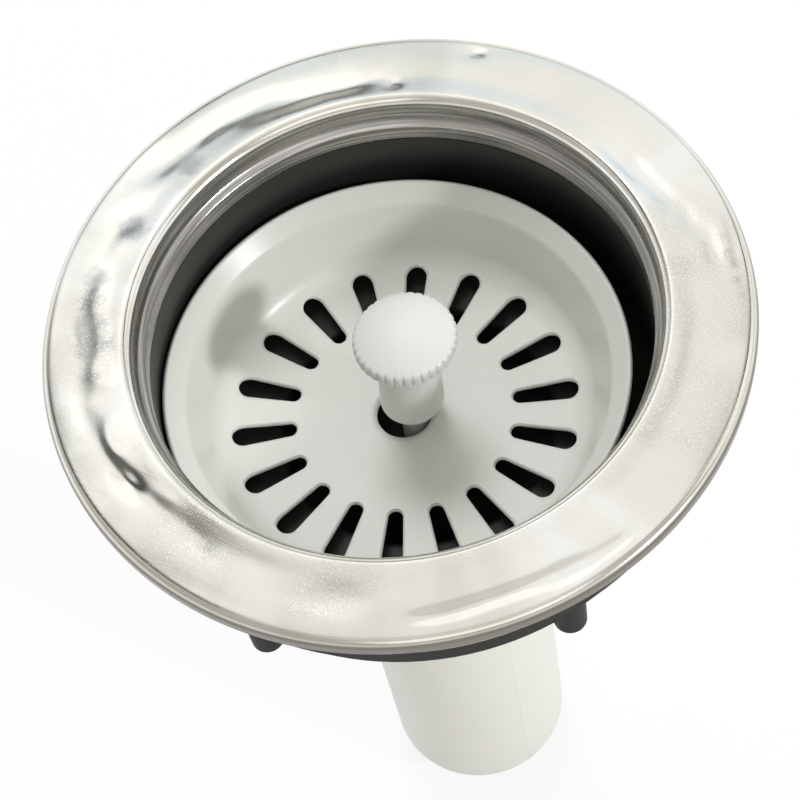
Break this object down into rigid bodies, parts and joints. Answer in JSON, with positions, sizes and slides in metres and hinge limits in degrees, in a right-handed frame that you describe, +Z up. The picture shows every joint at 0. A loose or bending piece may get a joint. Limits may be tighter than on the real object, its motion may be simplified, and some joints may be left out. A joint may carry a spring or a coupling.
{
  "type": "basket strainer waste",
  "caption": "Sink basket strainer waste with a steel flange, black bowl, slotted white basket, pull knob stopper, clamp nut and tail pipe.",
  "frame": {"origin": "on the axis, in the plane of the sink's top face, which is the underside of the flange gasket", "axes": "+Z up along the axis, out of the sink; -Y towards the viewer of the picture; +X to the viewer's right"},
  "size_m": [0.114, 0.114, 0.1644],
  "materials": {
    "flange_steel": "polished",
    "bowl_plastic": "gloss",
    "basket_plastic": "satin",
    "knob_plastic": "satin",
    "nut_plastic": "matte",
    "seal_rubber": "matte",
    "slip_ring": "matte",
    "backing_plastic": "matte",
    "fastener_steel": "plain",
    "pipe_plastic": "satin",
    "coupling_plastic": "satin"
  },
  "bodies": {
    "strainer": {"steel_flange": "flange_steel", "flange_gasket": "seal_rubber", "strainer_body": "bowl_plastic", "strainer_basket": "basket_plastic"},
    "plug": {"plug_knob": "knob_plastic", "stopper_backing": "backing_plastic", "stopper_seal": "seal_rubber", "stopper_washer": "fastener_steel", "stopper_screw": "fastener_steel"},
    "clamp_washers": {"sink_washer": "seal_rubber", "friction_washer": "slip_ring"},
    "clamp_nut": {"clamp_nut": "nut_plastic"},
    "tail": {"tail_washer": "seal_rubber", "tail_pipe": "pipe_plastic"},
    "coupling_nut": {"coupling_nut": "coupling_plastic"}
  },
  "joints": [
    {"name": "plug_lift", "type": "slide", "parent": "strainer", "child": "plug", "axis": [0, 0, 1], "range_m": [0, 0.0079]},
    {"name": "clamp_travel", "type": "slide", "parent": "strainer", "child": "clamp_washers", "axis": [0, 0, 1], "range_m": [-0.009, 0.0045]},
    {"name": "clamp_nut_turn", "type": "hinge", "parent": "clamp_washers", "child": "clamp_nut", "pos_m": [0, 0, -0.016], "axis": [0, 0, 1], "range_deg": [-1080, 540]},
    {"name": "tail_travel", "type": "slide", "parent": "strainer", "child": "tail", "axis": [0, 0, 1], "range_m": [-0.0092, 0]},
    {"name": "coupling_nut_turn", "type": "hinge", "parent": "tail", "child": "coupling_nut", "pos_m": [0, 0, -0.0544], "axis": [0, 0, 1], "range_deg": [-1440, 0]}
  ],
  "couplings": [
    {"joint": "clamp_travel", "follows": "clamp_nut_turn", "m_per_rad": 0.00047746},
    {"joint": "tail_travel", "follows": "coupling_nut_turn", "m_per_rad": 0.00036606}
  ]
}
